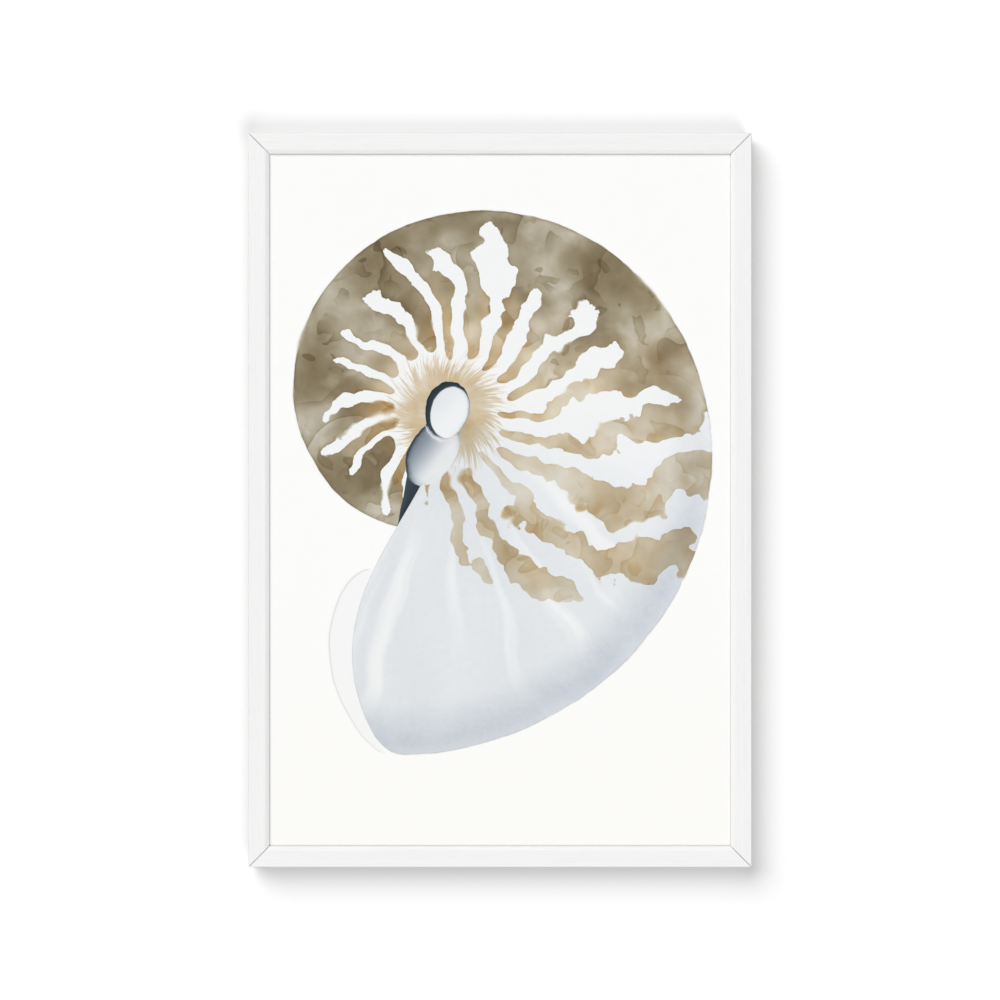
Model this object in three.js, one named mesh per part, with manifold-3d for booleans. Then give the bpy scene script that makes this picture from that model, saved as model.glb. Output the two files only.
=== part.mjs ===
// Framed art print: a mitred box moulding of white-painted timber with its acrylic glazing, the
// print on heavy paper, the backing board, the flexible points that hold the layers in the rebate, the
// V-nails that close the mitres, and the sawtooth hanger and bumpers on the back.
//
// Millimetres, +Z up. The picture faces -Y and hangs on a wall in the plane Y = 0. The origin is
// the point where the wall hook carries the middle tooth of the hanger.
import * as THREE from "three";
import { mergeVertices } from "three/addons/utils/BufferGeometryUtils.js";
import Module from "manifold-3d";

// Driving dimensions
const SIGHT_WIDTH = 500; // what shows of the print
const SIGHT_HEIGHT = 750;
const FACE = 22.5; // width of the moulding, seen from the front
const DEPTH = 30; // depth of the moulding, front to back
const LIP_DEPTH = 2.5; // timber in front of the glazing
const SIGHT_SLOPE = { width: 4, drop: 1.7 }; // of the lip, down to the picture
const REBATE = 6; // width of the step behind the lip
const EDGE_RADIUS = 1; // eased front edges
const BACK_RADIUS = 0.5; // eased back edges
const MITRE_GAP = 0.55; // width of the open line at a corner
const SHEET_OVERLAP = 5; // how far each layer reaches behind the lip

const LAYER_GAP = 0.1; // between neighbouring layers
const GLAZING_THICKNESS = 1;
const PRINT_THICKNESS = 0.5;
const BACKING_THICKNESS = 3;

const POINT = { width: 10, buried: 6, shown: 10, thickness: 0.6, tip: 2.5, lift: 0.2 };
const POINTS_PER_LONG_RAIL = 4;
const POINTS_PER_SHORT_RAIL = 2;
const V_NAIL = { leg: 5, halfAngle: 65, thickness: 0.6, depth: 10, sunk: 0.2 };
const V_NAIL_PLACES = [4, 10.5]; // from each outer edge to the nail's apex
const SLOT_GAP = 0.3; // room round whatever is set into the timber
const CUT_LEAD = 1; // how far outside the timber a slot's cutter starts

const HOOK_DROP = 12; // from the top edge of the frame down to the hook
const HANGER = { length: 50, height: 9, thickness: 0.8, raise: 1.6, raisedHalf: 15, ramp: 1.6 };
const TOOTH = { depth: 1.6, pitch: 3.2, count: 7 };
const PIN = { headRadius: 2.2, headHeight: 0.8, radius: 0.7, length: 11, point: 2, inset: 4.5 };
const BUMPER = { radius: 5, flatRadius: 3.4, height: 3 };

// Worked out from them
const OUTER_WIDTH = SIGHT_WIDTH + 2 * FACE;
const OUTER_HEIGHT = SIGHT_HEIGHT + 2 * FACE;
const BACK_WIDTH = FACE - REBATE; // timber beside the rebate
const SHEET_WIDTH = SIGHT_WIDTH + 2 * SHEET_OVERLAP;
const SHEET_HEIGHT = SIGHT_HEIGHT + 2 * SHEET_OVERLAP;
const TOP = HOOK_DROP;
const MIDDLE = TOP - OUTER_HEIGHT / 2;
const BOTTOM = TOP - OUTER_HEIGHT;

const MATERIALS = {
  paintedTimber: new THREE.MeshStandardMaterial({ color: 0xf3f3f3, roughness: 0.5 }),
  acrylic: new THREE.MeshStandardMaterial({
    color: 0xffffff,
    roughness: 0.02,
    transparent: true,
    opacity: 0.2,
  }),
  paper: new THREE.MeshStandardMaterial({ color: 0xfbfaf8, roughness: 0.9 }),
  hardboard: new THREE.MeshStandardMaterial({ color: 0x9a7450, roughness: 0.85 }),
  zincSteel: new THREE.MeshStandardMaterial({ color: 0xb9bcc0, roughness: 0.35, metalness: 1 }),
  rubber: new THREE.MeshStandardMaterial({ color: 0xc9cbcc, roughness: 0.6 }),
};

const wasm = await Module();
wasm.setup();

// A closed geometry as a solid for cutting.
function solidOf(geometry) {
  const bare = geometry.index ? geometry.toNonIndexed() : geometry.clone();
  bare.deleteAttribute("normal");
  bare.deleteAttribute("uv");
  const merged = mergeVertices(bare, 1e-4);
  return new wasm.Manifold(
    new wasm.Mesh({
      numProp: 3,
      vertProperties: merged.attributes.position.array,
      triVerts: new Uint32Array(merged.index.array),
    }),
  );
}

// A solid as a geometry with flat faces.
function geometryOf(solid) {
  const mesh = solid.getMesh();
  const indexed = new THREE.BufferGeometry()
    .setAttribute("position", new THREE.BufferAttribute(mesh.vertProperties, 3))
    .setIndex(new THREE.BufferAttribute(mesh.triVerts, 1));
  const flat = indexed.toNonIndexed();
  flat.computeVertexNormals();
  return flat;
}

function cutFrom(geometry, cutters) {
  let solid = solidOf(geometry);
  for (const cutter of cutters) solid = solid.subtract(solidOf(cutter));
  return geometryOf(solid);
}

function named(name, geometry, material, x = 0, y = 0, z = 0) {
  const mesh = new THREE.Mesh(geometry, material);
  mesh.name = name;
  mesh.position.set(x, y, z);
  return mesh;
}

// Extrudes an outline drawn in the X-Z plane from the plane Y = 0 towards -Y.
function extrudeIntoBack(shape, depth) {
  return new THREE.ExtrudeGeometry(shape, { depth, bevelEnabled: false }).rotateX(Math.PI / 2);
}

// Cross-section of the moulding. Shape x is the object's Y, with the back at 0 and the front at
// -DEPTH; shape y is the distance inwards from the outer edge, negative.
function mouldingProfile() {
  const front = -DEPTH;
  const lipBack = front + LIP_DEPTH;
  const r = EDGE_RADIUS;
  const b = BACK_RADIUS;
  const right = Math.PI / 2;
  const slopeTop = SIGHT_SLOPE.width - FACE;
  const slope = Math.atan2(SIGHT_SLOPE.drop, SIGHT_SLOPE.width);
  return new THREE.Shape()
    .absarc(-b, -b, b, 0, right, false)
    .absarc(front + r, -r, r, right, 2 * right, false)
    .lineTo(front, slopeTop + r)
    .quadraticCurveTo(front, slopeTop, front + r * Math.sin(slope), slopeTop - r * Math.cos(slope))
    .lineTo(front + SIGHT_SLOPE.drop, -FACE)
    .lineTo(lipBack, -FACE)
    .lineTo(lipBack, -BACK_WIDTH)
    .absarc(-b, b - BACK_WIDTH, b, 3 * right, 4 * right, false);
}

// A rail with mitred ends. It lies along X with its outer edge at Z = 0 and its back at Y = 0.
function mitredRail(length) {
  const rail = new THREE.ExtrudeGeometry(mouldingProfile(), {
    depth: 1,
    bevelEnabled: false,
    curveSegments: 6,
  }).applyMatrix4(
    new THREE.Matrix4().makeBasis(
      new THREE.Vector3(0, 1, 0),
      new THREE.Vector3(0, 0, 1),
      new THREE.Vector3(1, 0, 0),
    ),
  );
  const setBack = (MITRE_GAP / 2) * Math.SQRT2;
  const place = rail.attributes.position;
  for (let i = 0; i < place.count; i++) {
    const reach = length / 2 - setBack + place.getZ(i); // 45 degrees: shorter further in
    place.setX(i, place.getX(i) > 0.5 ? reach : -reach);
  }
  return rail;
}

// Plan of a V-nail in the X-Z plane: apex at the given place, symmetrical about the mitre, which
// runs from the outer corner inwards to side * X and to -Z.
function vNailPlan(side, apexInset, thickness, leg) {
  const mitre = new THREE.Vector2(side, -1).normalize();
  const apex = new THREE.Vector2(side * apexInset, -apexInset);
  const half = THREE.MathUtils.degToRad(V_NAIL.halfAngle);
  const origin = new THREE.Vector2();
  const legs = [half, -half].map((angle) => mitre.clone().rotateAround(origin, angle));
  const apexShift = mitre.clone().multiplyScalar(thickness / 2 / Math.sin(half));
  const legEnd = (way, shift) =>
    apex.clone().addScaledVector(legs[way], leg).addScaledVector(shift, thickness / 2);
  const across = (way, sign) => legs[way].clone().rotateAround(origin, (sign * Math.PI) / 2);
  return new THREE.Shape([
    apex.clone().sub(apexShift),
    legEnd(0, across(0, 1)),
    legEnd(0, across(0, -1)),
    apex.clone().add(apexShift),
    legEnd(1, across(1, 1)),
    legEnd(1, across(1, -1)),
  ]);
}

function vNailSlots(length) {
  return [-1, 1].flatMap((end) =>
    V_NAIL_PLACES.map((inset) =>
      extrudeIntoBack(
        vNailPlan(-end, inset, V_NAIL.thickness + 2 * SLOT_GAP, V_NAIL.leg + SLOT_GAP),
        CUT_LEAD + V_NAIL.depth + V_NAIL.sunk + SLOT_GAP,
      ).translate((end * length) / 2, CUT_LEAD, 0),
    ),
  );
}

// A flexible point lies flat over the backing board, with one end pressed into the rebate's wall.
// Its outline is in the X-Z plane, and Z = 0 is that wall.
function flexPointGeometry() {
  const half = POINT.width / 2;
  const outline = new THREE.Shape()
    .moveTo(-half, POINT.buried)
    .lineTo(-half, POINT.tip - POINT.shown)
    .lineTo(POINT.tip - half, -POINT.shown)
    .lineTo(half - POINT.tip, -POINT.shown)
    .lineTo(half, POINT.tip - POINT.shown)
    .lineTo(half, POINT.buried);
  return extrudeIntoBack(outline, POINT.thickness);
}

function pointPlaces(length, count) {
  return Array.from({ length: count }, (_, i) => ((i + 0.5) / count - 0.5) * length);
}

const glazingFront = LIP_DEPTH - DEPTH + LAYER_GAP;
const printFront = glazingFront + GLAZING_THICKNESS + LAYER_GAP;
const backingFront = printFront + PRINT_THICKNESS + LAYER_GAP;
const pointBack = backingFront + BACKING_THICKNESS + POINT.lift + POINT.thickness;

function pointSlots(places) {
  return places.map((x) =>
    new THREE.BoxGeometry(
      POINT.width + 2 * SLOT_GAP,
      POINT.thickness + 2 * SLOT_GAP,
      2 * (POINT.buried + SLOT_GAP),
    ).translate(x, pointBack - POINT.thickness / 2, -BACK_WIDTH),
  );
}

const pinPlaces = [-1, 1].map((side) => side * (HANGER.length / 2 - PIN.inset));
const pinHeight = HANGER.height / 2 - TOOTH.depth; // above the hook

function pinHoles() {
  const depth = PIN.length + SLOT_GAP;
  return pinPlaces.map((x) =>
    new THREE.CylinderGeometry(PIN.radius + SLOT_GAP, PIN.radius + SLOT_GAP, 2 * depth, 16).translate(
      x,
      0,
      pinHeight - HOOK_DROP,
    ),
  );
}

// One side of the frame, with the points that are pressed into it.
function frameSide(side, length, pointCount, turn, x, z, extraCuts = []) {
  const group = new THREE.Group();
  group.position.set(x, 0, z);
  group.rotation.y = turn;
  const places = pointPlaces(length - 2 * FACE, pointCount);
  const cuts = [...vNailSlots(length), ...pointSlots(places), ...extraCuts];
  group.add(named(`rail_${side}`, cutFrom(mitredRail(length), cuts), MATERIALS.paintedTimber));
  places.forEach((place, i) =>
    group.add(
      named(
        `flex_point_${side}_${i + 1}`,
        flexPointGeometry(),
        MATERIALS.zincSteel,
        place,
        pointBack,
        -BACK_WIDTH,
      ),
    ),
  );
  return group;
}

function cornerNails(corner, x, z, turn) {
  const group = new THREE.Group();
  group.position.set(x, -V_NAIL.sunk, z);
  group.rotation.y = turn;
  V_NAIL_PLACES.forEach((inset, i) =>
    group.add(
      named(
        `v_nail_${corner}_${i + 1}`,
        extrudeIntoBack(vNailPlan(1, inset, V_NAIL.thickness, V_NAIL.leg), V_NAIL.depth),
        MATERIALS.zincSteel,
      ),
    ),
  );
  return group;
}

function layer(name, frontPlane, thickness, material) {
  const sheet = new THREE.BoxGeometry(SHEET_WIDTH, thickness, SHEET_HEIGHT);
  return named(name, sheet, material, 0, frontPlane + thickness / 2, MIDDLE);
}

// A pressed strip, raised in the middle so that a hook passes behind it, with teeth cut up into
// its lower edge. The tip of the middle notch is at the origin.
function sawtoothHanger() {
  const end = HANGER.length / 2;
  const bend = HANGER.raisedHalf + HANGER.ramp;
  const path = [
    [-end, 0],
    [-bend, 0],
    [-HANGER.raisedHalf, HANGER.raise],
    [HANGER.raisedHalf, HANGER.raise],
    [bend, 0],
    [end, 0],
  ];
  const outline = [
    ...path.map(([x, y]) => new THREE.Vector2(x, y)),
    ...path.reverse().map(([x, y]) => new THREE.Vector2(x, y + HANGER.thickness)),
  ];
  const strip = new THREE.ExtrudeGeometry(new THREE.Shape(outline), {
    depth: HANGER.height,
    bevelEnabled: false,
  }).translate(0, 0, -TOOTH.depth);
  const through = 2 * (HANGER.raise + HANGER.thickness);
  const notches = Array.from({ length: TOOTH.count }, (_, i) => {
    const x = (i - (TOOTH.count - 1) / 2) * TOOTH.pitch;
    const notch = new THREE.Shape()
      .moveTo(x, 0)
      .lineTo(x - TOOTH.pitch / 2, -TOOTH.depth - SLOT_GAP)
      .lineTo(x + TOOTH.pitch / 2, -TOOTH.depth - SLOT_GAP);
    return extrudeIntoBack(notch, through).translate(0, through, 0);
  });
  const holeRadius = PIN.radius + SLOT_GAP;
  const holes = pinPlaces.map((x) =>
    new THREE.CylinderGeometry(holeRadius, holeRadius, through, 16).translate(x, 0, pinHeight),
  );
  return cutFrom(strip, [...notches, ...holes]);
}

// A domed pin along Y, with the underside of its head at Y = 0.
function hangerPin() {
  const dome = new THREE.Path().absellipse(0, 0, PIN.headRadius, PIN.headHeight, 0, Math.PI / 2);
  const profile = [
    new THREE.Vector2(0, -PIN.length),
    new THREE.Vector2(PIN.radius, PIN.point - PIN.length),
    new THREE.Vector2(PIN.radius, 0),
    ...dome.getPoints(5),
  ];
  profile[profile.length - 1].x = 0;
  return new THREE.LatheGeometry(profile, 16);
}

// A self-adhesive rubber foot that stands on the back and touches the wall.
function bumperGeometry() {
  const shoulder = BUMPER.radius - BUMPER.flatRadius;
  const side = new THREE.Path()
    .moveTo(0, LAYER_GAP)
    .lineTo(BUMPER.radius, LAYER_GAP)
    .absarc(BUMPER.flatRadius, BUMPER.height - shoulder, shoulder, 0, Math.PI / 2, false)
    .lineTo(0, BUMPER.height);
  return new THREE.LatheGeometry(side.getPoints(5), 24);
}

const picture = new THREE.Group();
picture.position.y = -BUMPER.height; // the bumpers touch the wall

const quarter = Math.PI / 2;
const halfWidth = OUTER_WIDTH / 2;
picture.add(
  frameSide("top", OUTER_WIDTH, POINTS_PER_SHORT_RAIL, 0, 0, TOP, pinHoles()),
  frameSide("right", OUTER_HEIGHT, POINTS_PER_LONG_RAIL, quarter, halfWidth, MIDDLE),
  frameSide("bottom", OUTER_WIDTH, POINTS_PER_SHORT_RAIL, 2 * quarter, 0, BOTTOM),
  frameSide("left", OUTER_HEIGHT, POINTS_PER_LONG_RAIL, -quarter, -halfWidth, MIDDLE),
  cornerNails("top_left", -halfWidth, TOP, 0),
  cornerNails("top_right", halfWidth, TOP, quarter),
  cornerNails("bottom_right", halfWidth, BOTTOM, 2 * quarter),
  cornerNails("bottom_left", -halfWidth, BOTTOM, -quarter),
  layer("glazing", glazingFront, GLAZING_THICKNESS, MATERIALS.acrylic),
  layer("art_print", printFront, PRINT_THICKNESS, MATERIALS.paper),
  layer("backing_board", backingFront, BACKING_THICKNESS, MATERIALS.hardboard),
  named("sawtooth_hanger", sawtoothHanger(), MATERIALS.zincSteel, 0, LAYER_GAP, 0),
);

["left", "right"].forEach((side, i) => {
  const onPlate = 2 * LAYER_GAP + HANGER.thickness;
  const inset = BACK_WIDTH / 2;
  const bumperX = (i ? 1 : -1) * (halfWidth - inset);
  picture.add(
    named(`hanger_pin_${side}`, hangerPin(), MATERIALS.zincSteel, pinPlaces[i], onPlate, pinHeight),
    named(`bumper_${side}`, bumperGeometry(), MATERIALS.rubber, bumperX, 0, BOTTOM + inset),
  );
});

export default picture;
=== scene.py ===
"""The looks of a glazed art print in a white timber frame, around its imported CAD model.

The print is a watercolour of a nautilus shell, worked out from a logarithmic spiral by the
nodes of its own material. Lengths are metres. Only those inside the materials, and those whose
names end in _MM, are millimetres.
"""

import math

import bmesh
import bpy
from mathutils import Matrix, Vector


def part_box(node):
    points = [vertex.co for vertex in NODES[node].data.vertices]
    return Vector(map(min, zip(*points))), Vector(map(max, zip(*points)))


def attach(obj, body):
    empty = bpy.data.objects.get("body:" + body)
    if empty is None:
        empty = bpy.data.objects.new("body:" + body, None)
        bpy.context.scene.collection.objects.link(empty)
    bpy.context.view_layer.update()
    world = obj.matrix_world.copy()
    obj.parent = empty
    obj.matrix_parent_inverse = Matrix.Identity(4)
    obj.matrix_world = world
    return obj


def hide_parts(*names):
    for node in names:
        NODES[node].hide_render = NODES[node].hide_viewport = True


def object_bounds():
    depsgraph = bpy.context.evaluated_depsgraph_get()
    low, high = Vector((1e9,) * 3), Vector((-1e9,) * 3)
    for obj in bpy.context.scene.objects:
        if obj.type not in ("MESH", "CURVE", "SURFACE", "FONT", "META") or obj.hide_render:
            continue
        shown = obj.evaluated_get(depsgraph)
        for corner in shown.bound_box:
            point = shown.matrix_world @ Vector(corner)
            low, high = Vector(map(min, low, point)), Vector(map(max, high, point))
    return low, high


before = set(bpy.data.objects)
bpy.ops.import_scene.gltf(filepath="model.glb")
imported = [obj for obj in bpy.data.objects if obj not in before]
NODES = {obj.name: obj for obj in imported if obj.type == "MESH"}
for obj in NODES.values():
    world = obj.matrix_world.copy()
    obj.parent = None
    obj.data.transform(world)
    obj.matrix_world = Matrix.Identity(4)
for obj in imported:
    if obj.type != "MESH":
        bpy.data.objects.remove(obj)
cad_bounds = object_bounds()
MM = 0.001
FULL_TURN = 2 * math.pi

LOW, HIGH = (Vector(corner) for corner in cad_bounds)
CENTRE = (LOW + HIGH) / 2
PRINT_LOW, PRINT_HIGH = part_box("art_print")
CENTRE_Z_MM = (PRINT_LOW.z + PRINT_HIGH.z) / 2 / MM
GLAZING_FRONT_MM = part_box("glazing")[0].y / MM  # the lip ends here


# ---------------------------------------------------------------- numbers worked out by nodes


class Field:
    """A number that shader nodes work out at each point. Arithmetic on it adds Math nodes."""

    def __init__(self, tree, socket):
        self.tree = tree
        self.socket = socket

    def math(self, operation, *inputs):
        node = self.tree.nodes.new("ShaderNodeMath")
        node.operation = operation
        for place, value in zip(node.inputs, inputs):
            feed(self.tree, place, value)
        return Field(self.tree, node.outputs["Value"])

    def __add__(self, other):
        return self.math("ADD", self, other)

    def __sub__(self, other):
        return self.math("SUBTRACT", self, other)

    def __rsub__(self, other):
        return self.math("SUBTRACT", other, self)

    def __mul__(self, other):
        return self.math("MULTIPLY", self, other)

    def __truediv__(self, other):
        return self.math("DIVIDE", self, other)

    def __pow__(self, other):
        return self.math("POWER", self, other)

    def __neg__(self):
        return self.math("MULTIPLY", self, -1.0)

    def __abs__(self):
        return self.math("ABSOLUTE", self)

    def exp(self):
        return self.math("EXPONENT", self)

    def floor(self):
        return self.math("FLOOR", self)

    def fract(self):
        return self.math("FRACT", self)

    def at_least(self, other):
        return self.math("MAXIMUM", self, other)

    def at_most(self, other):
        return self.math("MINIMUM", self, other)

    def step(self, low, high):
        """0 at low, 1 at high and past it, and a smooth step between. low may be above high."""
        node = self.tree.nodes.new("ShaderNodeMapRange")
        node.interpolation_type = "SMOOTHSTEP"
        for name, value in (("Value", self), ("From Min", low), ("From Max", high)):
            feed(self.tree, node.inputs[name], value)
        return Field(self.tree, node.outputs["Result"])

    __radd__ = __add__
    __rmul__ = __mul__


def feed(tree, place, value):
    """Gives an input socket a Field, another node's socket, or a plain value."""
    if isinstance(value, Field):
        tree.links.new(value.socket, place)
    elif isinstance(value, bpy.types.NodeSocket):
        tree.links.new(value, place)
    else:
        place.default_value = value


def vector_of(tree, x, y, z=0.0):
    node = tree.nodes.new("ShaderNodeCombineXYZ")
    for place, value in zip(node.inputs, (x, y, z)):
        feed(tree, place, value)
    return node.outputs["Vector"]


def fields_of(tree, vector):
    node = tree.nodes.new("ShaderNodeSeparateXYZ")
    feed(tree, node.inputs["Vector"], vector)
    return [Field(tree, output) for output in node.outputs]


def noise(tree, vector, size, detail=2.0, roughness=0.5, distortion=0.0, dimensions="3D"):
    """Smooth noise from 0 to 1, about 0.5, whose lumps are about size across."""
    node = tree.nodes.new("ShaderNodeTexNoise")
    node.noise_dimensions = dimensions
    settings = {
        "Vector": vector,
        "Scale": 1.0 / size,
        "Detail": detail,
        "Roughness": roughness,
        "Distortion": distortion,
    }
    for name, value in settings.items():
        feed(tree, node.inputs[name], value)
    return Field(tree, node.outputs[0])


def sway(tree, vector, size, reach, detail=2.0, roughness=0.5):
    """Smooth noise about 0. What lies between its lows and its highs is about reach."""
    return (noise(tree, vector, size, detail, roughness) - 0.5) * reach


def along_grain(tree, place, long, fine, *shape):
    """Noise whose lumps are long one way and fine the other two. place is its three Fields."""
    length, *others = place
    return noise(tree, vector_of(tree, length / long, *(way / fine for way in others)), 1.0, *shape)


def lobes(tree, vector, size, smoothness):
    """Distance from the middle of the nearest of many scattered lobes, in lobe sizes."""
    node = tree.nodes.new("ShaderNodeTexVoronoi")
    node.voronoi_dimensions = "2D"
    node.feature = "SMOOTH_F1"
    settings = {"Vector": vector, "Scale": 1.0 / size, "Smoothness": smoothness}
    for name, value in settings.items():
        feed(tree, node.inputs[name], value)
    return Field(tree, node.outputs["Distance"])


def draw_for(index, seed):
    """A number from 0 to 1 for each whole number."""
    node = index.tree.nodes.new("ShaderNodeTexWhiteNoise")
    node.noise_dimensions = "1D"
    feed(index.tree, node.inputs["W"], index + seed)
    return Field(index.tree, node.outputs["Value"])


def colour_of(tree, red, green, blue):
    node = tree.nodes.new("ShaderNodeCombineColor")
    for place, value in zip(node.inputs, (red, green, blue)):
        feed(tree, place, value)
    return node.outputs["Color"]


def blend_colours(tree, share, first, second):
    node = tree.nodes.new("ShaderNodeMix")
    node.data_type = "RGBA"
    feed(tree, node.inputs["Factor"], share)
    feed(tree, node.inputs[6], first)
    feed(tree, node.inputs[7], second)
    return node.outputs[2]


def millimetres(tree):
    """The place in the object's own frame, in millimetres."""
    place = tree.nodes.new("ShaderNodeTexCoord").outputs["Object"]
    node = tree.nodes.new("ShaderNodeVectorMath")
    node.operation = "SCALE"
    feed(tree, node.inputs[0], place)
    node.inputs["Scale"].default_value = 1 / MM
    return node.outputs["Vector"]


def new_material(name, **constants):
    """A material of one Principled BSDF, with constants on its own sockets."""
    material = bpy.data.materials.new(name)
    material.use_nodes = True
    shader = material.node_tree.nodes["Principled BSDF"]
    for socket, value in constants.items():
        shader.inputs[socket.replace("_", " ")].default_value = value
    return material, material.node_tree, shader


def add_bump(tree, shader, height, distance, strength=1.0):
    """Relief whose height Field runs over distance, in metres."""
    node = tree.nodes.new("ShaderNodeBump")
    node.inputs["Strength"].default_value = strength
    node.inputs["Distance"].default_value = distance
    feed(tree, node.inputs["Height"], height)
    tree.links.new(node.outputs["Normal"], shader.inputs["Normal"])


# ---------------------------------------------------------------- the watercolour

# The shell is drawn about its umbilicus, in millimetres. Angles are radians, anticlockwise from +X.
UMBILICUS = (-56.0, 95.0)  # from the middle of the sheet
SHELL_RADIUS = 378.0  # at the outer end of the lip
LIP_ANGLE = math.radians(-100)
LIP_BULGE = 1.08  # how far the lip bows forward
LIP_CORNER = 40.0  # how far the rounding of the lip's outer end reaches
WHORL_EXPANSION = 2.9  # growth of the radius in a turn
GROWTH = math.log(WHORL_EXPANSION) / FULL_TURN

STRIPES_PER_RADIAN = 3.3
STRIPE_SWEEP = 0.45  # how far the outer ends lag behind the inner ones
STRIPE_WIDTH = 0.42  # near the umbilicus, where a stripe and its gap together are 1
STRIPE_START = 48.0  # from the umbilicus
STRIPE_SEED = 3.1
GAP_END = 0.76  # the shortest gaps run about this far across the whorl
GAP_SEED = 11.7
ROUNDING = 14.0  # of the ends of stripes and gaps

FRINGE_LENGTH = 55.0  # of the wash round the umbilicus
FRINGE_HAIR = 21.0  # how far its longest hairs run past it
FRINGE_CURL = 0.006  # radians in a millimetre

FAR_LIP_START = 0.50  # share of the way out along the lip
FAR_LIP_WIDTH = 27.78  # at its widest

PLUG = {"middle": (-1.0, 3.0), "size": (23.5, 31.0), "turn": math.radians(-12)}
PLUG_FACE = {"middle": (2.4, -0.4), "size": (21.4, 28.4), "turn": math.radians(-12)}
CALLUS = {"middle": (-17.0, -43.0), "size": (25.0, 40.0), "turn": math.radians(-30)}
SLIT_START = 66.0  # from the umbilicus
SLIT_END = 132.0
SLIT_TAPER = 0.36  # width that it gains in a millimetre away from its end

# How much red, green and blue each pigment takes out of the paper's white at full strength
PIGMENTS = {
    "tan": (0.44, 0.68, 1.14),
    "sienna": (0.50, 0.95, 1.75),
    "taupe": (1.30, 1.53, 2.06),
    "blue_grey": (0.273, 0.230, 0.185),
    "lavender": (0.30, 0.265, 0.195),
    "navy": (3.9, 3.4, 3.0),
    "graphite": (0.95, 0.95, 0.90),
}
PAPER = (0.950, 0.947, 0.940)
SHADED_SHEET = (60, -330)  # heights on the sheet that its faint shade runs between
SHEET_SHADE = (0.005, 0.011, 0.021)  # how much red, green and blue that shade takes out


def hypotenuse(a, b):
    squares = a * a + b * b
    return squares.math("SQRT", squares)


class ShellPlan:
    """Where a point of the sheet lies on the shell."""

    def __init__(self, tree, x, z, paper):
        wander = sway(tree, paper, 70, 5) + sway(tree, paper, 14, 1.6)
        self.tree = tree
        self.paper = paper
        self.x = x - UMBILICUS[0]
        self.z = z - UMBILICUS[1]
        self.radius = hypotenuse(self.x, self.z)
        self.reach = self.radius / SHELL_RADIUS
        bulge = (self.reach * (1.0 - self.reach) * LIP_BULGE).at_least(0.0)
        behind_lip = self.z.math("ARCTAN2", self.z, self.x) - LIP_ANGLE + bulge
        self.behind_lip = behind_lip.math("WRAP", behind_lip, FULL_TURN, 0.0)
        self.age = self.behind_lip - bulge  # radians round from the lip's outer end
        self.rim = (self.age * -GROWTH).exp() * SHELL_RADIUS
        self.across = self.radius / self.rim  # 0 at the umbilicus, 1 at the rim
        self.inside = self.rim - self.radius + wander
        self.past_lip = (FULL_TURN - self.behind_lip) * self.radius + wander  # in front of the lip
        self.in_from_lip = self.behind_lip * self.radius - wander
        self.from_edge = self.inside.math("SMOOTH_MIN", self.inside, self.in_from_lip, LIP_CORNER)


def stripes(plan):
    """The shell's flame stripes: how far inside a stripe a point is, and a draw for each stripe."""
    tree, paper = plan.tree, plan.paper
    sweep = STRIPE_SWEEP * plan.across**1.6
    waves = sway(tree, paper, 85, 1.5, 1) + sway(tree, paper, 30, 0.55, 1)
    phase = (plan.age - sweep) * STRIPES_PER_RADIAN + waves
    off_middle = abs(phase.fract() - 0.5) * 2
    stripe = draw_for(phase.floor(), STRIPE_SEED)
    gap = draw_for((phase + 0.5).floor(), GAP_SEED)

    width = STRIPE_WIDTH + plan.across.step(0.2, 0.8) * 0.14 + (stripe - 0.5) * 0.2
    width = width + sway(tree, paper, 45, 0.45, 1) + plan.age.step(2.4, 4.4) * 0.08
    depth = (width - off_middle) * plan.radius * (0.5 / STRIPES_PER_RADIAN)

    closes = GAP_END + gap * 0.19 - plan.age.step(1.5, 2.1) * plan.age.step(3.1, 2.5) * 0.12
    past_gap = (plan.across - closes) * plan.rim - plan.age.step(2.1, 1.45) * 90
    depth = depth.math("SMOOTH_MAX", depth, past_gap, ROUNDING)
    past_start = plan.radius - STRIPE_START - stripe * 20
    depth = depth.math("SMOOTH_MIN", depth, past_start, ROUNDING)
    behind_fade = plan.age - (plan.across - 0.5) * 1.7 - 0.10 - stripe * 0.35
    depth = depth.math("SMOOTH_MIN", depth, behind_fade * plan.radius, ROUNDING)

    scallops = (0.42 - lobes(tree, paper, 14, 0.35)) * (5.0 + plan.age.step(3.2, 1.4) * 5.0)
    ragged = scallops + sway(tree, paper, 6, 6.5, 3, 0.65)
    return depth + ragged * plan.radius.step(30, 150), stripe


def crisp_layer(tree, paper, size, level):
    """A second layer of wash over part of the first, with a hard edge here and a soft one there."""
    height = (noise(tree, paper, size, 2, 0.4, 0.4) - level) * (size * 2.2)
    let_in = noise(tree, paper, size * 1.7, 1).step(0.42, 0.60)
    body = height.step(-0.4, 0.4) * (0.5 + (height.at_least(0.0) * -0.45).exp() * 0.6)
    return body * let_in


def watercolour_body(plan, cover, depth):
    """How strong a wash is at each point: pooled, layered and granulated, with darker edges."""
    tree, paper = plan.tree, plan.paper
    pools = noise(tree, paper, 78, 2, 0.45, 0.3).step(0.32, 0.70)
    clouds = noise(tree, paper, 24, 3, 0.5, 0.4) - 0.5
    layers = crisp_layer(tree, paper, 64, 0.53) + crisp_layer(tree, paper, 27, 0.58) * 0.8
    lifted = noise(tree, paper, 40, 2, 0.5, 0.3).step(0.58, 0.74)
    grains = sway(tree, paper, 1.5, 0.16, 3, 0.7)
    edge = (depth.at_least(0.0) * -0.8).exp() * noise(tree, paper, 34, 1).step(0.40, 0.62) * 0.45
    strength = 0.42 + pools * 0.70 + clouds * 0.56 + layers * 0.46 - lifted * 0.24 + edge + grains
    return cover * strength.at_least(0.05)


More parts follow.
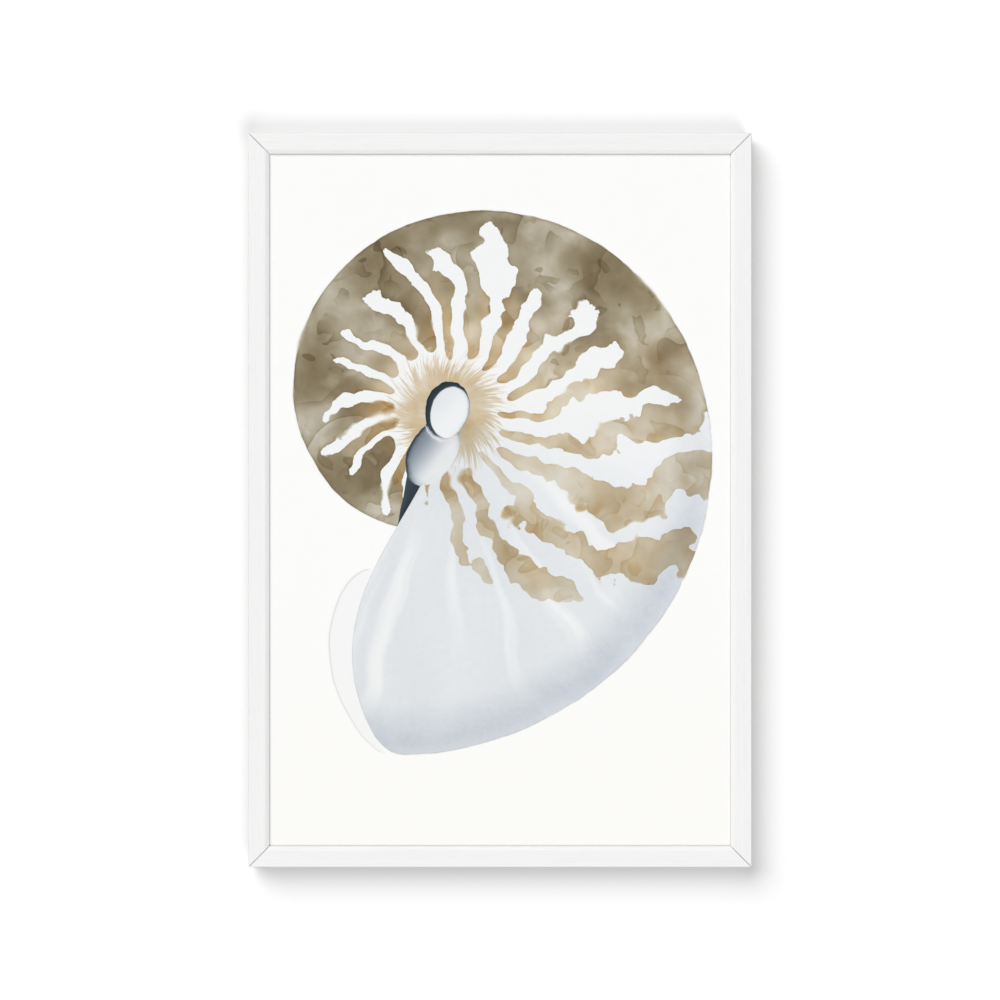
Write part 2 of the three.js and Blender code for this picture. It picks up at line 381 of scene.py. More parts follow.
def stripe_washes(plan):
    """Densities of the warm pigments."""
    tree, paper = plan.tree, plan.paper
    depth, stripe = stripes(plan)
    depth = depth.at_most(plan.from_edge)
    wet = noise(tree, paper, 52, 1).step(0.56, 0.72) * 3.6 + 0.4
    cover = depth.step(wet * -1.0, wet) * plan.in_from_lip.step(2.0, 4.0)
    old = plan.age.step(1.1, 2.5)
    wash = watercolour_body(plan, cover, depth) * (0.72 + old * 0.37)
    drift = sway(tree, paper, 40, 0.5) + (stripe - 0.5) * 0.25
    dark = (plan.across + drift).step(0.30, 0.80) * (0.08 + old * 0.92)
    warm = noise(tree, paper, 30, 1).step(0.50, 0.68) * (1.0 - dark)
    return {
        "taupe": wash * dark * 0.86,
        "tan": wash * (1.0 - dark) * (1.0 - warm * 0.5) * 1.15,
        "sienna": wash * warm * 0.55,
    }


def umbilical_fringe(plan):
    """A soft ochre wash round the umbilicus, whose edge runs out in fine hairs."""
    tree = plan.tree
    spin = plan.radius * FRINGE_CURL
    cosine, sine = spin.math("COSINE", spin), spin.math("SINE", spin)
    turned_x = (plan.x * cosine - plan.z * sine) / plan.radius
    turned_z = (plan.x * sine + plan.z * cosine) / plan.radius
    hairs_at = vector_of(tree, turned_x * 27, turned_z * 27, plan.radius * 0.05)
    hairs = noise(tree, hairs_at, 1.0, 2, 0.6)
    clumps = noise(tree, hairs_at, 6.0, 1)
    length = FRINGE_LENGTH + (clumps - 0.5) * 30 + hairs.step(0.35, 0.68) * FRINGE_HAIR
    ring = (length - plan.radius).step(-2.0, 21.0)
    on_shell = plan.in_from_lip.step(0.0, 8.0) * plan.behind_lip.step(6.2, 5.7)
    wash = 0.55 + sway(tree, plan.paper, 22, 0.7)
    near = plan.radius.step(74, 30)
    body = wash * (0.42 + near * 0.80) + (hairs - 0.42) * (1.15 - near * 0.85)
    fringe = ring * on_shell * body
    warm = noise(tree, plan.paper, 34, 2).step(0.44, 0.62)
    return {"tan": fringe * (1.15 - warm * 0.5), "sienna": fringe * warm * 0.45}


def chamber_washes(plan):
    """The pale last chamber, streaked along the lines of growth and darker towards the rim."""
    tree, paper = plan.tree, plan.paper
    shell = plan.from_edge.step(-0.3, 0.5)
    young = plan.age.step(2.0, 0.5)
    drift = sway(tree, paper, 90, 4, 1)
    streaks_at = vector_of(tree, plan.age * 20 + drift, plan.across * 1.6)
    streaks = noise(tree, streaks_at, 2.6, 2, 0.5)
    soft = noise(tree, paper, 80, 2, 0.5, 0.5)
    lit = streaks.step(0.49, 0.66) * plan.across.step(0.25, 0.5) * plan.across.step(0.95, 0.78)
    base = shell * (0.27 + young * (0.62 - lit * 0.50) * (0.66 + soft * 0.68))
    edge_falls = plan.inside.step(-6, 15) * 0.5 + 0.5
    shade = shell * plan.inside.step(62, 14) * edge_falls * plan.age.step(2.2, 1.2) * (0.4 + soft)
    lip_shade = shell * plan.in_from_lip.step(30, 2) * plan.reach.step(0.25, 0.5) * 0.26
    grains = sway(tree, paper, 1.6, 0.6, 3, 0.6) + sway(tree, paper, 7, 0.45, 3, 0.6) + 1.0
    return {
        "blue_grey": (base + lip_shade) * grains,
        "lavender": shade * grains * 0.85,
    }


def far_lip(plan):
    """The far side of the opening, seen past the lip: pale, and drawn in thin outline."""
    reach = plan.reach
    way = (reach - FAR_LIP_START) / (1 - FAR_LIP_START)
    bow = (way * (1.0 - way) * 4).at_least(0.0)
    inside = bow.math("SQRT", bow) * FAR_LIP_WIDTH - plan.past_lip
    beside_lip = reach.step(1.0, 0.99) * reach.step(FAR_LIP_START, FAR_LIP_START + 0.005)
    in_front = plan.past_lip.step(-0.5, 0.5) * beside_lip
    sliver = inside.step(-0.4, 0.5) * in_front
    line = (abs(inside) * -1.6).exp() * in_front
    return {"blue_grey": sliver * 0.20 + line * 0.55, "graphite": line * 0.2}


def ellipse(plan, middle, size, turn):
    """Distance from an ellipse's middle, in its own radii, and its parts across and along."""
    x, z = plan.x - middle[0], plan.z - middle[1]
    cosine, sine = math.cos(turn), math.sin(turn)
    across = (x * cosine + z * sine) / size[0]
    along = (z * cosine - x * sine) / size[1]
    return hypotenuse(across, along), across, along


def plug(plan, wobble, mottle):
    """The plug in the umbilicus: how far out a point is, its cover, and its washes."""
    rim, across, along = ellipse(plan, **PLUG)
    face, _, _ = ellipse(plan, **PLUG_FACE)
    rim = rim + wobble
    cover = rim.step(1.02, 0.98)
    in_face = (face + wobble * 0.5).step(1.06, 0.97)
    shadow = cover * (1.0 - in_face)
    towards_light = across * 0.7 - along * 0.6 + mottle * 0.5
    face_tone = 0.42 + towards_light.step(0.4, -1.0) * 0.55
    thin_rim = (abs(rim - 0.99) * -26).exp() * cover * along.step(-0.95, -0.4)
    navy = shadow * (0.86 + along * 0.10 - across * 0.16 + mottle * 0.15) + thin_rim * 0.35
    return rim, cover, {"navy": navy, "blue_grey": in_face * cover * face_tone}


def callus(plan, wobble, mottle, plug_rim, in_plug):
    """The callus below the plug, with a highlight beside the plug's rim: its cover and washes."""
    edge, side, lean = ellipse(plan, **CALLUS)
    edge = edge + wobble
    cover = edge.step(1.02, 0.98) * (1.0 - in_plug)
    outline = (abs(edge - 0.98) * -17).exp() * (side - lean * 0.35 + mottle * 0.3).step(0.9, -0.5)
    turned_away = (side - lean * 0.25 + mottle * 0.35).step(0.55, -1.05)
    highlight = (abs(plug_rim - 1.10) * -20).exp() * side.step(0.45, -0.1)
    tone = (0.75 + turned_away * 5.2) * (1.0 - highlight * 0.9) * (1.0 + mottle * 0.5)
    return cover, {
        "navy": cover * outline * (1.0 - highlight) * 0.75,
        "blue_grey": cover * tone * 0.66,
        "graphite": cover * tone * 0.09,
    }


def slit(plan, in_callus):
    """The dark slit where the lip begins: its cover, and its navy wash."""
    past_lip = plan.past_lip / ((SLIT_END - plan.radius) * SLIT_TAPER).at_least(0.01)
    cover = past_lip.step(1.04, 0.96) * plan.radius.step(SLIT_START - 2, SLIT_START + 2)
    cover = cover * (1.0 - in_callus) * plan.inside.step(0.0, 1.0)
    return cover, cover * (1.02 - past_lip.step(0.0, 1.2) * 0.22)


def umbilicus(plan):
    """The plug, the callus and the slit: what they cover together, and their washes."""
    tree, paper = plan.tree, plan.paper
    wobble = sway(tree, paper, 20, 0.14) + sway(tree, paper, 5, 0.05)
    mottle = sway(tree, paper, 14, 1.0)
    grains = sway(tree, paper, 1.5, 0.2, 3, 0.6) + 1.0
    plug_rim, in_plug, plug_washes = plug(plan, wobble, mottle)
    in_callus, callus_washes = callus(plan, wobble, mottle, plug_rim, in_plug)
    in_slit, slit_navy = slit(plan, in_callus)
    washes = {
        "navy": plug_washes["navy"] + slit_navy + callus_washes["navy"],
        "blue_grey": plug_washes["blue_grey"] + callus_washes["blue_grey"],
        "graphite": callus_washes["graphite"],
    }
    covered = in_plug.at_least(in_callus).at_least(in_slit)
    return covered, {name: density * grains for name, density in washes.items()}


def pencil_lines(plan):
    """Thin broken outlines along the rim and the lip."""
    pressure = noise(plan.tree, plan.paper, 9, 3, 0.7).step(0.30, 0.75)
    line = (abs(plan.from_edge) * -1.9).exp() * plan.reach.step(0.14, 0.2)
    return line * (0.15 + pressure * 0.40)


def watercolour_colour(tree, x, z, facing):
    """The sheet's colour: what the pigments leave of the paper's white."""
    paper = vector_of(tree, x, z)
    plan = ShellPlan(tree, x, z, paper)
    covered, core = umbilicus(plan)
    bare = 1.0 - covered
    strength = {name: [] for name in PIGMENTS}
    for washes in (stripe_washes(plan), umbilical_fringe(plan), chamber_washes(plan)):
        for name, density in washes.items():
            strength[name].append(density * bare)
    for washes in (far_lip(plan), core):
        for name, density in washes.items():
            strength[name].append(density)
    strength["graphite"].append(pencil_lines(plan) * bare)

    tone = sway(tree, paper, 120, 0.010) + sway(tree, paper, 2.2, 0.014, 3)
    low_on_sheet = z.step(*SHADED_SHEET)
    densities = {name: sum(parts[1:], parts[0]) * facing for name, parts in strength.items()}
    channels = []
    for channel, white in enumerate(PAPER):
        taken = low_on_sheet * SHEET_SHADE[channel] + tone
        for name, density in densities.items():
            taken = taken + density * PIGMENTS[name][channel]
        channels.append((-taken).exp() * white)
    return colour_of(tree, *channels), paper


def art_paper():
    """Matt cold-pressed paper with the watercolour printed on its front."""
    material, tree, shader = new_material("art_paper", Roughness=0.85, Specular_IOR_Level=0.25)
    x, _, z = fields_of(tree, millimetres(tree))
    normal = tree.nodes.new("ShaderNodeNewGeometry").outputs["Normal"]
    facing = fields_of(tree, normal)[1].step(-0.4, -0.6)
    colour, paper = watercolour_colour(tree, x, z - CENTRE_Z_MM, facing)
    feed(tree, shader.inputs["Base Color"], colour)
    tooth = noise(tree, paper, 1.1, 4, 0.6) + noise(tree, paper, 5.0, 2) * 0.5
    add_bump(tree, shader, tooth, 0.12 * MM, 0.6)
    return material


# ---------------------------------------------------------------- the other materials

# Colours of the bare timber, of the hardboard, and of the open mitres, which are dark with dirt and
# with painted shade in the gap
PINE_PALE = (0.60, 0.42, 0.24, 1)
PINE_DEEP = (0.50, 0.33, 0.175, 1)
PINE_PORE = (0.30, 0.18, 0.09, 1)
BOARD_PALE = (0.345, 0.200, 0.100, 1)
BOARD_DEEP = (0.275, 0.150, 0.070, 1)
BOARD_FIBRE = (0.48, 0.32, 0.18, 1)
BOARD_SPECK = (0.12, 0.06, 0.03, 1)
MITRE_DUST_AND_SHADE = (0.075, 0.068, 0.060, 1)

# Mean shades of the paint, the zinc and the rubber
PAINT_SHADE = 0.837
ZINC_SHADE = 0.60
RUBBER_SHADE = 0.47

ACRYLIC_IOR = 1.49


def bare_pine(tree, ways, pores):
    """The colour of planed pine: growth rings and dark pores."""
    rings = along_grain(tree, ways, 240, 2.4, 2, 0.5, 1.2)
    pine = blend_colours(tree, (rings * 9).fract().step(0.0, 0.8), PINE_DEEP, PINE_PALE)
    return blend_colours(tree, pores.step(0.42, 0.30) * 0.5, pine, PINE_PORE)


def painted_timber(name, along):
    """White paint over open-grained timber whose grain runs along X or Z, bare at the back."""
    material, tree, shader = new_material(name, Specular_IOR_Level=0.4)
    place = millimetres(tree)
    x, y, z = fields_of(tree, place)
    ways = (x, z, y) if along == "X" else (z, x, y)
    pores = along_grain(tree, ways, 26, 0.62, 3, 0.6)
    figure = along_grain(tree, ways, 190, 3.2, 3, 0.6, 0.6)
    brushed = along_grain(tree, ways, 9, 1.4, 3, 0.7)
    shade = PAINT_SHADE + (figure - 0.5) * 0.075 + (pores.step(0.30, 0.46) - 1.0) * 0.045
    white = colour_of(tree, shade, shade, shade * 0.998)

    normal = tree.nodes.new("ShaderNodeNewGeometry").outputs["Normal"]
    normal_x, normal_y, normal_z = fields_of(tree, normal)
    faces_in = (x * normal_x + (z - CENTRE_Z_MM) * normal_z).step(-60, -120)
    behind_lip = y.step(GLAZING_FRONT_MM, GLAZING_FRONT_MM + 0.3)
    at_back = normal_y.step(0.55, 0.8)
    bare = (faces_in * behind_lip).at_least(at_back)
    cut_end = (abs(normal_x) * abs(normal_z)).step(0.2, 0.4)
    bridged = noise(tree, place, 5.0, 2, 0.6).step(0.50, 0.60)  # paint that closes the mitre
    finish = blend_colours(tree, bare, white, bare_pine(tree, ways, pores))
    # The cut ends in the open mitres are painted dark, with dust and with painted shade, except
    # where paint bridges the gap
    finish = blend_colours(tree, cut_end * (1.0 - bridged * 0.8), finish, MITRE_DUST_AND_SHADE)
    feed(tree, shader.inputs["Base Color"], finish)
    feed(tree, shader.inputs["Roughness"], 0.42 + bare * 0.33 + (brushed - 0.5) * 0.16)
    relief = pores.step(0.28, 0.50) + figure * 0.7 + brushed * 0.35
    add_bump(tree, shader, relief, 0.05 * MM)
    return material


def clear_acrylic():
    """Polished sheet: it lets light straight through and mirrors by Fresnel's law."""
    material = bpy.data.materials.new("clear_acrylic")
    material.use_nodes = True
    tree = material.node_tree
    tree.nodes.clear()
    through = tree.nodes.new("ShaderNodeBsdfTransparent")
    through.inputs["Color"].default_value = (0.997, 0.998, 0.997, 1)
    mirror = tree.nodes.new("ShaderNodeBsdfGlossy")
    mirror.inputs["Roughness"].default_value = 0.02
    fresnel = tree.nodes.new("ShaderNodeFresnel")
    fresnel.inputs["IOR"].default_value = ACRYLIC_IOR
    leaving = Field(tree, tree.nodes.new("ShaderNodeNewGeometry").outputs["Backfacing"])
    mix = tree.nodes.new("ShaderNodeMixShader")
    out = tree.nodes.new("ShaderNodeOutputMaterial")
    feed(tree, mix.inputs[0], Field(tree, fresnel.outputs[0]) * (1.0 - leaving))
    tree.links.new(through.outputs[0], mix.inputs[1])
    tree.links.new(mirror.outputs[0], mix.inputs[2])
    tree.links.new(mix.outputs[0], out.inputs["Surface"])
    return material


def hardboard():
    """Pressed wood fibre: brown, flecked, with a faint sheen from the platen."""
    material, tree, shader = new_material("hardboard", Roughness=0.62, Specular_IOR_Level=0.3)
    place = millimetres(tree)
    x, _, z = fields_of(tree, place)
    long_fibres = noise(tree, vector_of(tree, x / 0.5, z / 5.0), 1.0, 3, 0.6, 1.5, "2D")
    cross_fibres = noise(tree, vector_of(tree, x / 5.0, z / 0.5), 1.0, 3, 0.6, 1.5, "2D")
    clouds = noise(tree, place, 60, 3)
    fleck = long_fibres.step(0.56, 0.70).at_least(cross_fibres.step(0.58, 0.72))
    specks = noise(tree, place, 1.4, 3, 0.7).step(0.60, 0.72)
    base = blend_colours(tree, clouds, BOARD_DEEP, BOARD_PALE)
    base = blend_colours(tree, fleck * 0.45, base, BOARD_FIBRE)
    base = blend_colours(tree, specks * 0.5, base, BOARD_SPECK)
    feed(tree, shader.inputs["Base Color"], base)
    add_bump(tree, shader, long_fibres + cross_fibres + noise(tree, place, 0.8, 3), 0.05 * MM)
    return material


def zinc_steel():
    """Zinc-plated pressed steel, with rolling marks and dull spots."""
    material, tree, shader = new_material("zinc_steel", Metallic=1.0)
    place = millimetres(tree)
    x, y, z = fields_of(tree, place)
    rolled = along_grain(tree, (x, z, y), 6, 0.12, 3, 0.6)
    spots = noise(tree, place, 2.2, 4, 0.6)
    shade = ZINC_SHADE + (spots - 0.5) * 0.22 + (rolled - 0.5) * 0.10
    feed(tree, shader.inputs["Base Color"], colour_of(tree, shade, shade * 1.01, shade * 1.03))
    feed(tree, shader.inputs["Roughness"], 0.26 + spots * 0.22)
    add_bump(tree, shader, rolled + spots * 0.5, 0.012 * MM)
    return material


def bumper_rubber():
    """Soft moulded rubber, dusty grey."""
    material, tree, shader = new_material("bumper_rubber", Specular_IOR_Level=0.45)
    place = millimetres(tree)
    dust = noise(tree, place, 1.8, 4, 0.65)
    shade = RUBBER_SHADE + (dust - 0.5) * 0.10
    feed(tree, shader.inputs["Base Color"], colour_of(tree, shade, shade * 1.01, shade * 1.01))
    feed(tree, shader.inputs["Roughness"], 0.42 + dust * 0.25)
    add_bump(tree, shader, noise(tree, place, 0.35, 3), 0.02 * MM)
    return material


def paint(obj, material):
    obj.data.materials.clear()
    obj.data.materials.append(material)


def finish_cad_nodes(steel):
    """Gives their materials to the CAD nodes that stay in sight."""
    timber = {axis: painted_timber(f"painted_timber_{axis.lower()}", axis) for axis in "XZ"}
    paint(NODES["art_print"], art_paper())
    paint(NODES["glazing"], clear_acrylic())
    paint(NODES["backing_board"], hardboard())
    for name, node in NODES.items():
        if name.startswith("rail_"):
            paint(node, timber["X" if name in ("rail_top", "rail_bottom") else "Z"])
        elif name.startswith("v_nail"):
            paint(node, steel)


# ---------------------------------------------------------------- pressed, turned and moulded pieces

EASED_EDGE = 0.22 * MM  # of pressed steel
STRIP_ROWS = 10
SEGMENTS = 40
SHARP_ANGLE = math.radians(50)  # edges that turn further than this stay sharp
BACKWARDS = Vector((0, 1, 0))

POINT_BURIED = 6 * MM  # of a flexible point, in the timber
POINT_ROUND = 4.5 * MM
POINT_RIB = {"height": 0.45 * MM, "half_width": 1.1 * MM}
POINT_RIB_STARTS = (7.6 * MM, 8.8 * MM)  # where it starts to rise, and where it is full
POINT_RIB_ENDS = (13.6 * MM, 12.4 * MM)
POINT_STEPS = 28  # stations in its whole length
POINT_ROUND_STEPS = 10
POINT_SPRING = 0.35 * MM  # how far the tip bends away from the board

HANGER_STEP = 0.4 * MM
HANGER_ROUND = 2.4 * MM  # of its corners
HANGER_ROUND_STEPS = 8
HANGER_RAISE = 1.6 * MM
HANGER_BENDS = (17.4 * MM, 14.4 * MM)  # where its middle starts to rise, and where it is level
TOOTH_DEPTH = 1.6 * MM
TOOTH_PITCH = 3.2 * MM
TEETH_REACH = 11.2 * MM
HANGER_BEAD = {"height": 0.30 * MM, "half_width": 0.55 * MM}
BEAD_DOWN = 1.5 * MM  # from the hanger's upper edge
BEAD_ENDS = (1 * MM, 5 * MM)  # from the hanger's ends: where it starts, and where it is full

# Sizes of the hanger's pins and of the bumpers, all in millimetres
PIN_MM = {"length": 11, "point": 2, "radius": 0.7, "head": 2.2, "dome": 0.6, "rim": 0.2}
BUMPER_MM = {"radius": 5, "height": 2.9, "crown": 2.9, "dish": 0.25, "rim": 0.2}
ARC_STEPS = 8


def smooth_step(low, high, value):
    share = min(max((value - low) / (high - low), 0.0), 1.0)
    return share * share * (3 - 2 * share)


def stand_for(node, name, vertices, faces, material, slot):
    """A smooth closed piece that shows instead of a CAD node."""
    mesh = bpy.data.meshes.new(name)
    mesh.from_pydata(vertices, [], faces)
    shape = bmesh.new()
    shape.from_mesh(mesh)
    bmesh.ops.recalc_face_normals(shape, faces=shape.faces)
    shape.to_mesh(mesh)
    shape.free()
    mesh.shade_smooth()
    mesh.set_sharp_from_angle(angle=SHARP_ANGLE)
    piece = bpy.data.objects.new(name, mesh)
    bpy.context.scene.collection.objects.link(piece)
    paint(piece, material)
    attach(piece, "root")
    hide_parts(node)


def closing_in(end, rounding, steps):
    """Stations along a strip that crowd together towards its round end."""
    return [end - rounding * (1 - math.sin(math.pi / 2 * i / steps)) for i in range(steps + 1)]


def pressed_strip(place, stations, edges, rise, thickness):
    """Vertices and faces of a strip of pressed sheet metal with eased edges.

    edges(v) gives the strip's two sides at the station v along it, rise(v, u) how far the press
    pushed it out there, and place(v, u, height) the point of the object.
    """
    half = thickness / 2
    vertices = []
    for v in stations:
        low, high = edges(v)
        eased = min(EASED_EDGE, (high - low) / 4)
        span = high - low - 2 * eased
        across = [low + eased + span * i / STRIP_ROWS for i in range(STRIP_ROWS + 1)]
        front = [(u, -half) for u in reversed(across)]
        loop = [(low, 0.0), *((u, half) for u in across), (high, 0.0), *front]
        vertices += [place(v, u, rise(v, u) + height) for u, height in loop]
    size = 2 * STRIP_ROWS + 4
    last = (len(stations) - 1) * size
    faces = [
        (row + j, row + (j + 1) % size, row + size + (j + 1) % size, row + size + j)
        for row in range(0, last, size)
        for j in range(size)
    ]
    return vertices, faces + [tuple(range(size)), tuple(range(last, last + size))]


def arc(middle, radii, start, end):
    """Points of an elliptical arc from start to end, in degrees."""
    angles = [math.radians(start + (end - start) * i / ARC_STEPS) for i in range(ARC_STEPS + 1)]
    return [
        (middle[0] + radii[0] * math.cos(angle), middle[1] + radii[1] * math.sin(angle))
        for angle in angles
    ]


def pin_outline():
    """Radius and height along a pointed pin with a domed head, in millimetres."""
    rim = PIN_MM["rim"]
    shank = [(0, -PIN_MM["length"]), (PIN_MM["radius"], PIN_MM["point"] - PIN_MM["length"])]
    under_head = [(PIN_MM["radius"], 0)]
    edge = arc((PIN_MM["head"] - rim, rim), (rim, rim), -90, 0)
    dome = arc((0, rim), (PIN_MM["head"], PIN_MM["dome"]), 0, 90)
    return shank + under_head + edge + dome[1:-1] + [(0, rim + PIN_MM["dome"])]


def bumper_outline():
    """Radius and height along a round rubber foot with a dished top, in millimetres."""
    rim, crown, height = BUMPER_MM["rim"], BUMPER_MM["crown"], BUMPER_MM["height"]
    edge = arc((BUMPER_MM["radius"] - rim, rim), (rim, rim), -90, 0)
    side = arc((crown, rim), (BUMPER_MM["radius"] - crown, height - rim), 0, 90)
    shares = [1 - i / ARC_STEPS for i in range(1, ARC_STEPS + 1)]
    dish = [
        (crown * share, height - BUMPER_MM["dish"] * (1 + math.cos(math.pi * share)) / 2)
        for share in shares
    ]
    return [(0, 0)] + edge + side[1:] + dish


def turned(outline, base):
    """Vertices and faces of a solid turned about the line from base backwards."""
    vertices = [base + BACKWARDS * (height * MM) for _, height in (outline[0], outline[-1])]
    for radius, height in outline[1:-1]:
        for i in range(SEGMENTS):
            angle = FULL_TURN * i / SEGMENTS
            spoke = Vector((math.cos(angle), 0, math.sin(angle)))
            vertices.append(base + spoke * (radius * MM) + BACKWARDS * (height * MM))
    starts = [2 + SEGMENTS * k for k in range(len(outline) - 2)]
    faces = []
    for i in range(SEGMENTS):
        j = (i + 1) % SEGMENTS
        faces.append((0, starts[0] + i, starts[0] + j))
        faces.append((1, starts[-1] + j, starts[-1] + i))
        faces += [(k + i, k + j, k + SEGMENTS + j, k + SEGMENTS + i) for k in starts[:-1]]
    return vertices, faces


def ridge(profile, u):
    """Height of a stamped rib or bead at the distance u from its middle line."""
    return profile["height"] * math.exp(-((u / profile["half_width"]) ** 2))


def flex_point(node, inwards, steel):
    """A sprung steel tab with a round tip and a stamped rib, whose other end is in the timber."""
    low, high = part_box(node)
    low, high = Vector(low), Vector(high)
    middle, size = (low + high) / 2, high - low
    length = abs(size.dot(inwards))
    across = inwards.cross(BACKWARDS)
    half_width = abs(size.dot(across)) / 2
    buried_end = middle - inwards * (length / 2)

    def edges(v):
        rounding = min(max((length - v) / POINT_ROUND, 0.0), 1.0)
        width = half_width * max(math.sqrt(rounding * (2 - rounding)), 0.02)
        return -width, width

    def rise(v, u):
        ends = smooth_step(*POINT_RIB_STARTS, v) * smooth_step(*POINT_RIB_ENDS, v)
        bend = max(v - POINT_BURIED, 0.0) / (length - POINT_BURIED)
        return ridge(POINT_RIB, u) * ends + POINT_SPRING * bend**2

    def place(v, u, height):
        return buried_end + inwards * v + across * u + BACKWARDS * height

    straight = [length * i / POINT_STEPS for i in range(POINT_STEPS * 3 // 4)]
    near_tip = closing_in(length, POINT_ROUND, POINT_ROUND_STEPS)
    stations = sorted({round(v, 7) for v in straight + near_tip})
    vertices, faces = pressed_strip(place, stations, edges, rise, size.y)
    stand_for(node, f"detail_{node}", vertices, faces, steel, "zinc_steel")


def sawtooth_hanger(steel):
    """A pressed strip with round corners, a raised middle, a bead and a row of teeth."""
    node = "sawtooth_hanger"
    low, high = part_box(node)
    low, high = Vector(low), Vector(high)
    thickness = high.y - low.y - HANGER_RAISE
    end = high.x

    def edges(x):
        corner = max(abs(x) - (end - HANGER_ROUND), 0.0)
        pulled_in = HANGER_ROUND - math.sqrt(max(HANGER_ROUND**2 - corner**2, 0.0))
        cut = 0.0
        if abs(x) < TEETH_REACH:
            from_tip = abs((x / TOOTH_PITCH + 0.5) % 1.0 - 0.5) * 2
            cut = TOOTH_DEPTH * (1 - from_tip)
        return low.z + pulled_in + cut, high.z - pulled_in

    def rise(x, z):
        bead = ridge(HANGER_BEAD, z - (high.z - BEAD_DOWN)) * smooth_step(*BEAD_ENDS, end - abs(x))
        return HANGER_RAISE * smooth_step(*HANGER_BENDS, abs(x)) + bead

    def place(x, z, height):
        return Vector((x, low.y + thickness / 2 + height, z))

    count = int(end / HANGER_STEP)
    inner = [i * HANGER_STEP for i in range(-count, count + 1)]
    near_end = closing_in(end, HANGER_ROUND, HANGER_ROUND_STEPS)
    stations = sorted({round(x, 7) for x in inner + near_end + [-x for x in near_end]})
    vertices, faces = pressed_strip(place, stations, edges, rise, thickness)
    stand_for(node, f"detail_{node}", vertices, faces, steel, "zinc_steel")


def make_hardware(steel, rubber):
    """Makes a smooth piece for each node of the small hardware, apart from the V-nails."""
    inwards = {"top": (0, 0, -1), "bottom": (0, 0, 1), "left": (1, 0, 0), "right": (-1, 0, 0)}
    for node in sorted(NODES):
        if node.startswith("flex_point_"):
            flex_point(node, Vector(inwards[node.split("_")[2]]), steel)
    sawtooth_hanger(steel)
    for side in ("left", "right"):
        for kind, outline, material, slot in (
            ("hanger_pin", pin_outline(), steel, "zinc_steel"),
            ("bumper", bumper_outline(), rubber, "bumper_rubber"),
        ):
            node = f"{kind}_{side}"
            low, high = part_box(node)
            base = (Vector(low) + Vector(high)) / 2
            base.y = low[1] - outline[0][1] * MM  # the outline starts at the node's front end
            stand_for(node, f"detail_{node}", *turned(outline, base), material, slot)


# ---------------------------------------------------------------- stage, light and camera

WALL_GAP = 0.4 * MM  # behind the bumpers
WALL_COLOUR = (0.955, 0.955, 0.955, 1)
FLOOR_DROP = 1.1  # from the picture down to the floor
FLOOR_COLOUR = (0.84, 0.84, 0.835, 1)
STAGE_REACH = 6.0
WORLD_LIGHT = 0.255  # from all round
WORLD_SEEN = 0.92  # how bright it looks where the camera sees it
KEY_SHARE = 0.525  # of the light on the front
KEY_SPREAD = math.radians(50)
KEY_LEFT = math.radians(30)
KEY_UP = math.radians(33)
FILL_SHARE = 0.30
FILL_SPREAD = math.radians(34)
FILL_RIGHT = math.radians(18)
FILL_DOWN = math.radians(35)
BACK_SHARE = 0.45  # of the light on a plane that faces the lamp behind
BACK_SIZE = 2.0
BACK_DIRECTION = Vector((-0.5, 1.0, 0.6))
LAMP_DISTANCE = 3.0
FRAME_SHARE = 0.5036  # of the view's width that the frame takes up
CAMERA_DISTANCE = 3.0
SENSOR_MM = 36.0


def sheet_of(name, corners):
    """A flat piece of the stage."""
    mesh = bpy.data.meshes.new(name)
    mesh.from_pydata(corners, [], [(0, 1, 2, 3)])
    obj = bpy.data.objects.new(name, mesh)
    bpy.context.scene.collection.objects.link(obj)
    return obj


def wall_material():
    """Pale matt wall that shows only to the camera, and only from the front."""
    material, tree, shader = new_material(
        "stage_wall", Base_Color=WALL_COLOUR, Roughness=0.9, Specular_IOR_Level=0.0
    )
    seen = Field(tree, tree.nodes.new("ShaderNodeLightPath").outputs["Is Camera Ray"])
    behind = Field(tree, tree.nodes.new("ShaderNodeNewGeometry").outputs["Backfacing"])
    clear = tree.nodes.new("ShaderNodeBsdfTransparent")
    mix = tree.nodes.new("ShaderNodeMixShader")
    feed(tree, mix.inputs[0], seen * (1.0 - behind))
    tree.links.new(clear.outputs[0], mix.inputs[1])
    tree.links.new(shader.outputs[0], mix.inputs[2])
    tree.links.new(mix.outputs[0], tree.nodes["Material Output"].inputs["Surface"])
    return material


def make_stage():
    bottom = LOW.z - FLOOR_DROP
    reach = STAGE_REACH
    wall_corners = ((-reach, bottom), (reach, bottom), (reach, reach), (-reach, reach))
    wall = sheet_of("stage_wall", [(x, WALL_GAP, z) for x, z in wall_corners])
    paint(wall, wall_material())
    floor_corners = ((-reach, -reach), (reach, -reach), (reach, reach), (-reach, reach))
    floor = sheet_of("stage_floor", [(x, y, bottom) for x, y in floor_corners])
    floor_material, _, _ = new_material(
        "stage_floor", Base_Color=FLOOR_COLOUR, Roughness=0.7, Specular_IOR_Level=0.2
    )
    paint(floor, floor_material)
    floor.visible_shadow = False  # the fill light comes from below it
    floor.visible_diffuse = False  # it throws no light up into the shadow under the frame


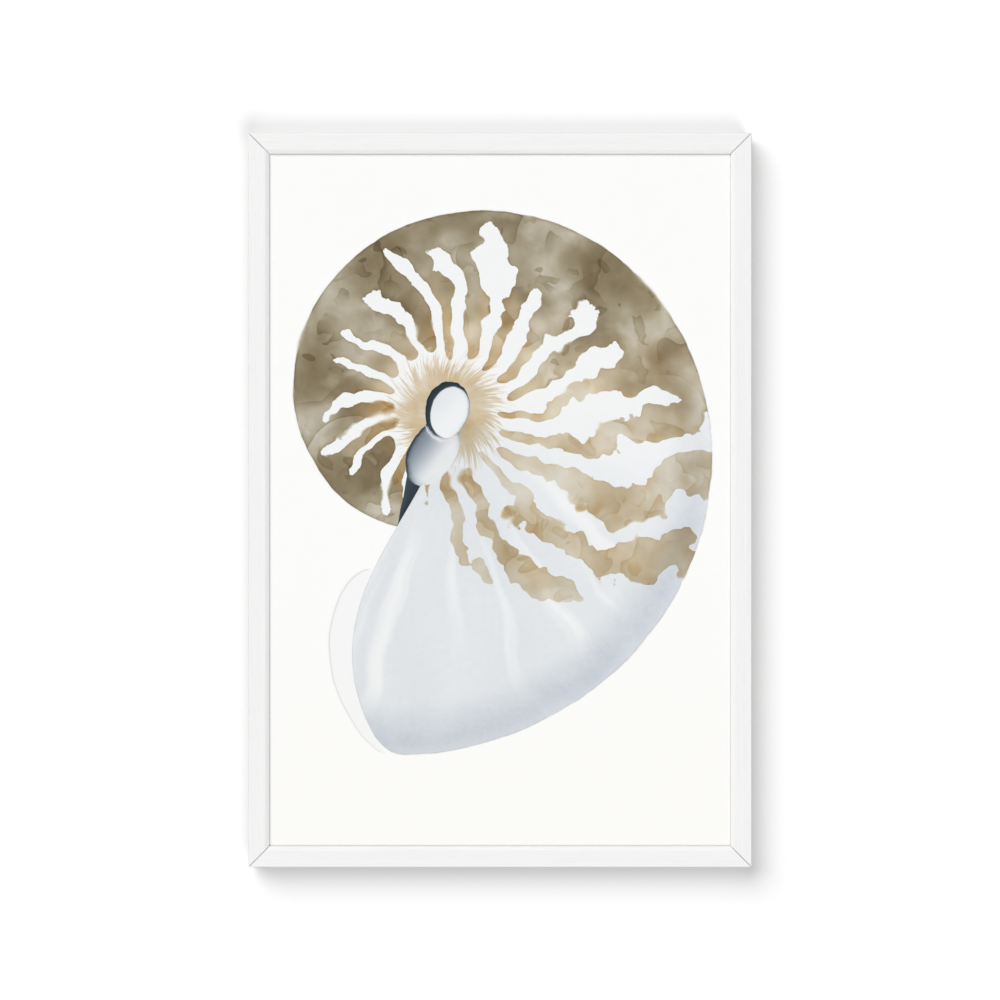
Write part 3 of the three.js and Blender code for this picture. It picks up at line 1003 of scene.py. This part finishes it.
def make_world():
    world = bpy.data.worlds.new("studio")
    bpy.context.scene.world = world
    world.use_nodes = True
    tree = world.node_tree
    background = tree.nodes["Background"]
    background.inputs["Color"].default_value = (1, 1, 1, 1)
    seen = Field(tree, tree.nodes.new("ShaderNodeLightPath").outputs["Is Camera Ray"])
    feed(tree, background.inputs["Strength"], WORLD_LIGHT + seen * (WORLD_SEEN - WORLD_LIGHT))


def lamp(name, kind, direction, **settings):
    """A lamp that lies in the given direction from the picture and shines on its middle."""
    light = bpy.data.lights.new(name, kind)
    for setting, value in settings.items():
        setattr(light, setting, value)
    obj = bpy.data.objects.new(name, light)
    bpy.context.scene.collection.objects.link(obj)
    obj.location = CENTRE + direction.normalized() * LAMP_DISTANCE
    obj.rotation_euler = direction.to_track_quat("Z", "Y").to_euler()


def towards(right, up):
    """The direction that many radians right of and above the way the picture faces."""
    level = Vector((math.sin(right), -math.cos(right), 0))
    return level * math.cos(up) + Vector((0, 0, math.sin(up)))


def sun(name, direction, spread, share):
    """A far, broad lamp that adds share to the light on a plane facing as the picture does."""
    lamp(name, "SUN", direction, angle=spread, energy=share * math.pi / -direction.y)


def make_lights():
    sun("key", towards(-KEY_LEFT, KEY_UP), KEY_SPREAD, KEY_SHARE)
    sun("fill", towards(FILL_RIGHT, -FILL_DOWN), FILL_SPREAD, FILL_SHARE)
    back_watts = BACK_SHARE * (math.pi * LAMP_DISTANCE) ** 2
    lamp("back_fill", "AREA", BACK_DIRECTION, size=BACK_SIZE, energy=back_watts)


def make_camera():
    data = bpy.data.cameras.new("camera")
    data.sensor_width = SENSOR_MM
    view_width = (HIGH.x - LOW.x) / FRAME_SHARE
    data.lens = SENSOR_MM * CAMERA_DISTANCE / view_width
    camera = bpy.data.objects.new("camera", data)
    bpy.context.scene.collection.objects.link(camera)
    camera.location = (CENTRE.x, LOW.y - CAMERA_DISTANCE, CENTRE.z)
    camera.rotation_euler = (math.pi / 2, 0, 0)
    bpy.context.scene.camera = camera


bpy.context.scene.view_settings.view_transform = "Standard"
make_camera()
make_stage()
make_world()
make_lights()
steel, rubber = zinc_steel(), bumper_rubber()
finish_cad_nodes(steel)
make_hardware(steel, rubber)
